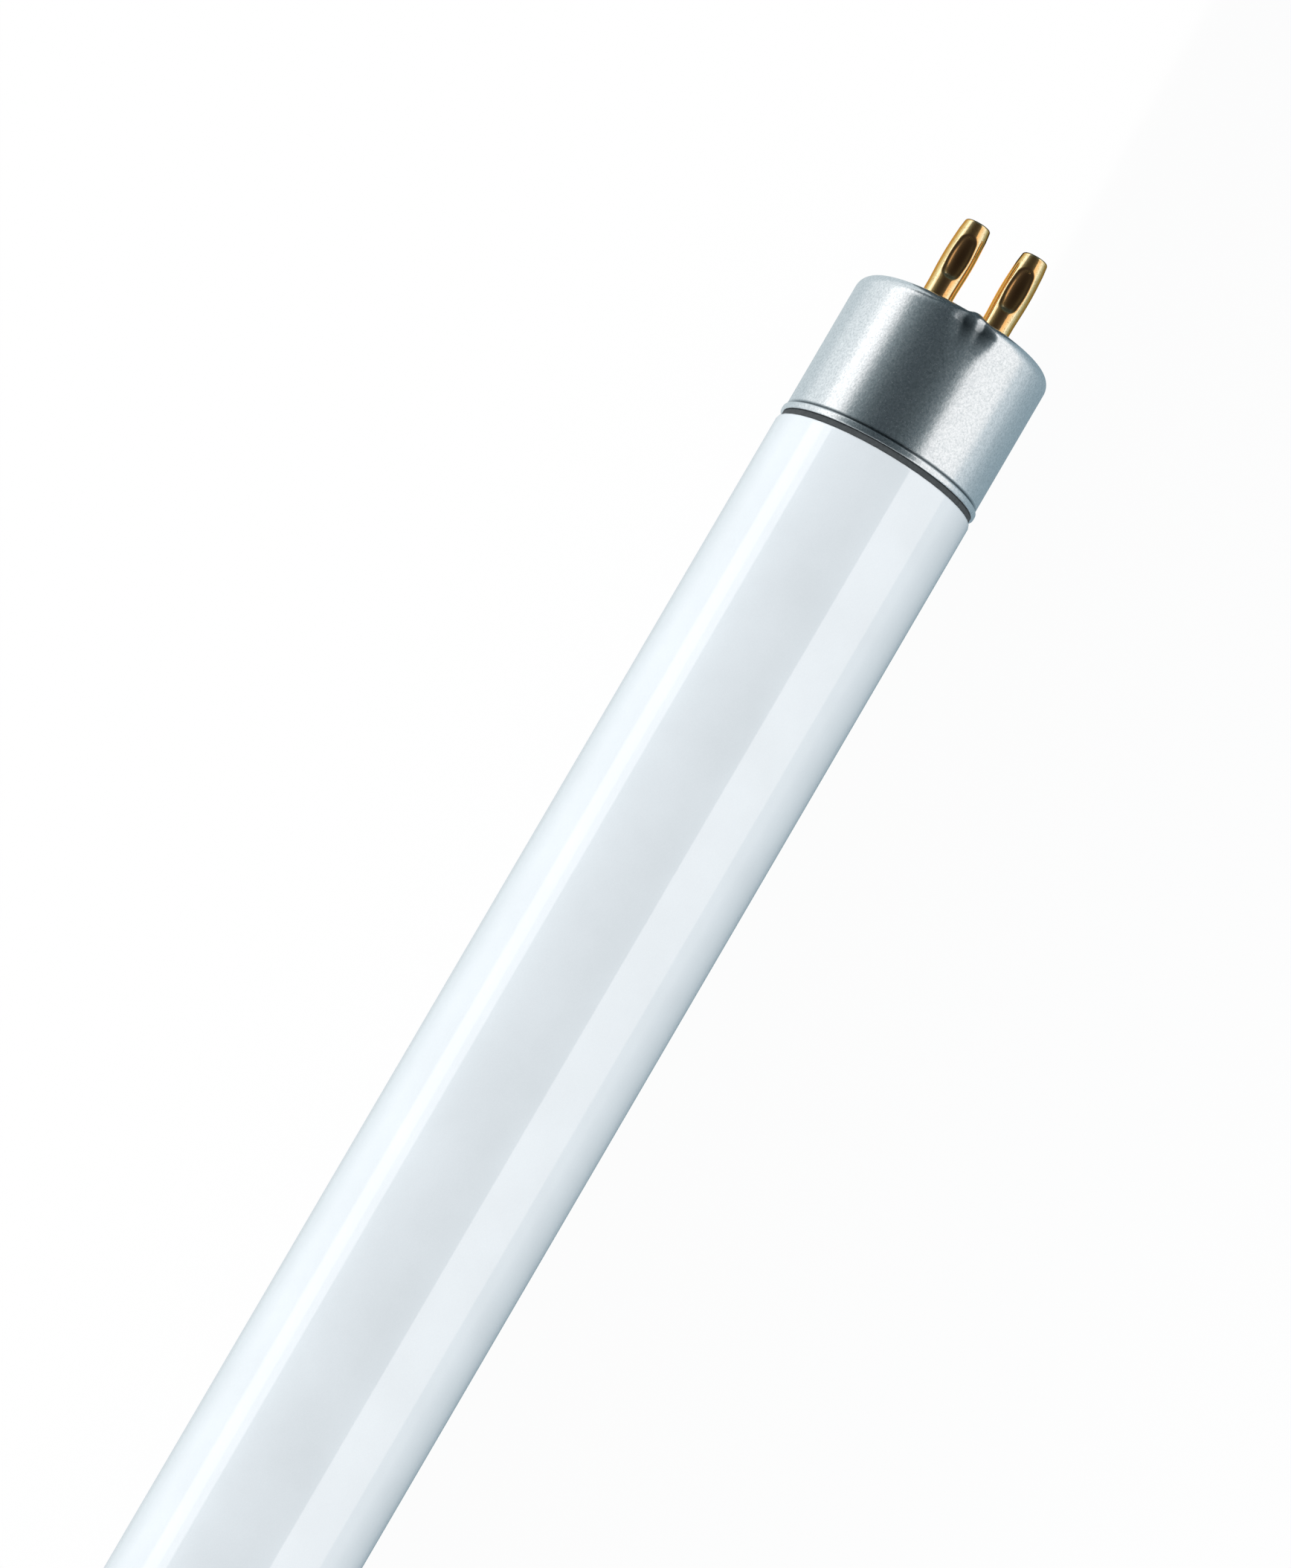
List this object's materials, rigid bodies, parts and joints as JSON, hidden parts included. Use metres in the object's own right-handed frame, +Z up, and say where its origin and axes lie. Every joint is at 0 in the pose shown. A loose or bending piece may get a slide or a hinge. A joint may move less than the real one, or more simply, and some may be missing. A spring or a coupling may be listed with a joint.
{
  "type": "fluorescent tube",
  "caption": "Straight white fluorescent tube, 16 mm size, with a drawn aluminium cap and a pair of crimped brass contact pins at each end.",
  "frame": {"origin": "middle of the tube, on its axis", "axes": "X along the tube; +Z up, towards the stake marks of both caps; the pins of each cap lie side by side along Y"},
  "size_m": [0.3026, 0.016, 0.0158],
  "materials": {
    "coated_glass": "glossy glass over a white coat",
    "cap_aluminium": "satin drawn sheet",
    "insulator_resin": "matt",
    "basing_cement": "rough",
    "pin_brass": "bright",
    "lead_metal": "drawn wire"
  },
  "bodies": {
    "root": {"glass_tube": "coated_glass", "cap_shell_a": "cap_aluminium", "insulator_a": "insulator_resin", "basing_cement_a": "basing_cement", "contact_pin_a_left": "pin_brass", "contact_pin_a_right": "pin_brass", "lead_wire_a_left": "lead_metal", "lead_wire_a_right": "lead_metal", "cap_shell_b": "cap_aluminium", "insulator_b": "insulator_resin", "basing_cement_b": "basing_cement", "contact_pin_b_left": "pin_brass", "contact_pin_b_right": "pin_brass", "lead_wire_b_left": "lead_metal", "lead_wire_b_right": "lead_metal"}
  },
  "joints": []
}
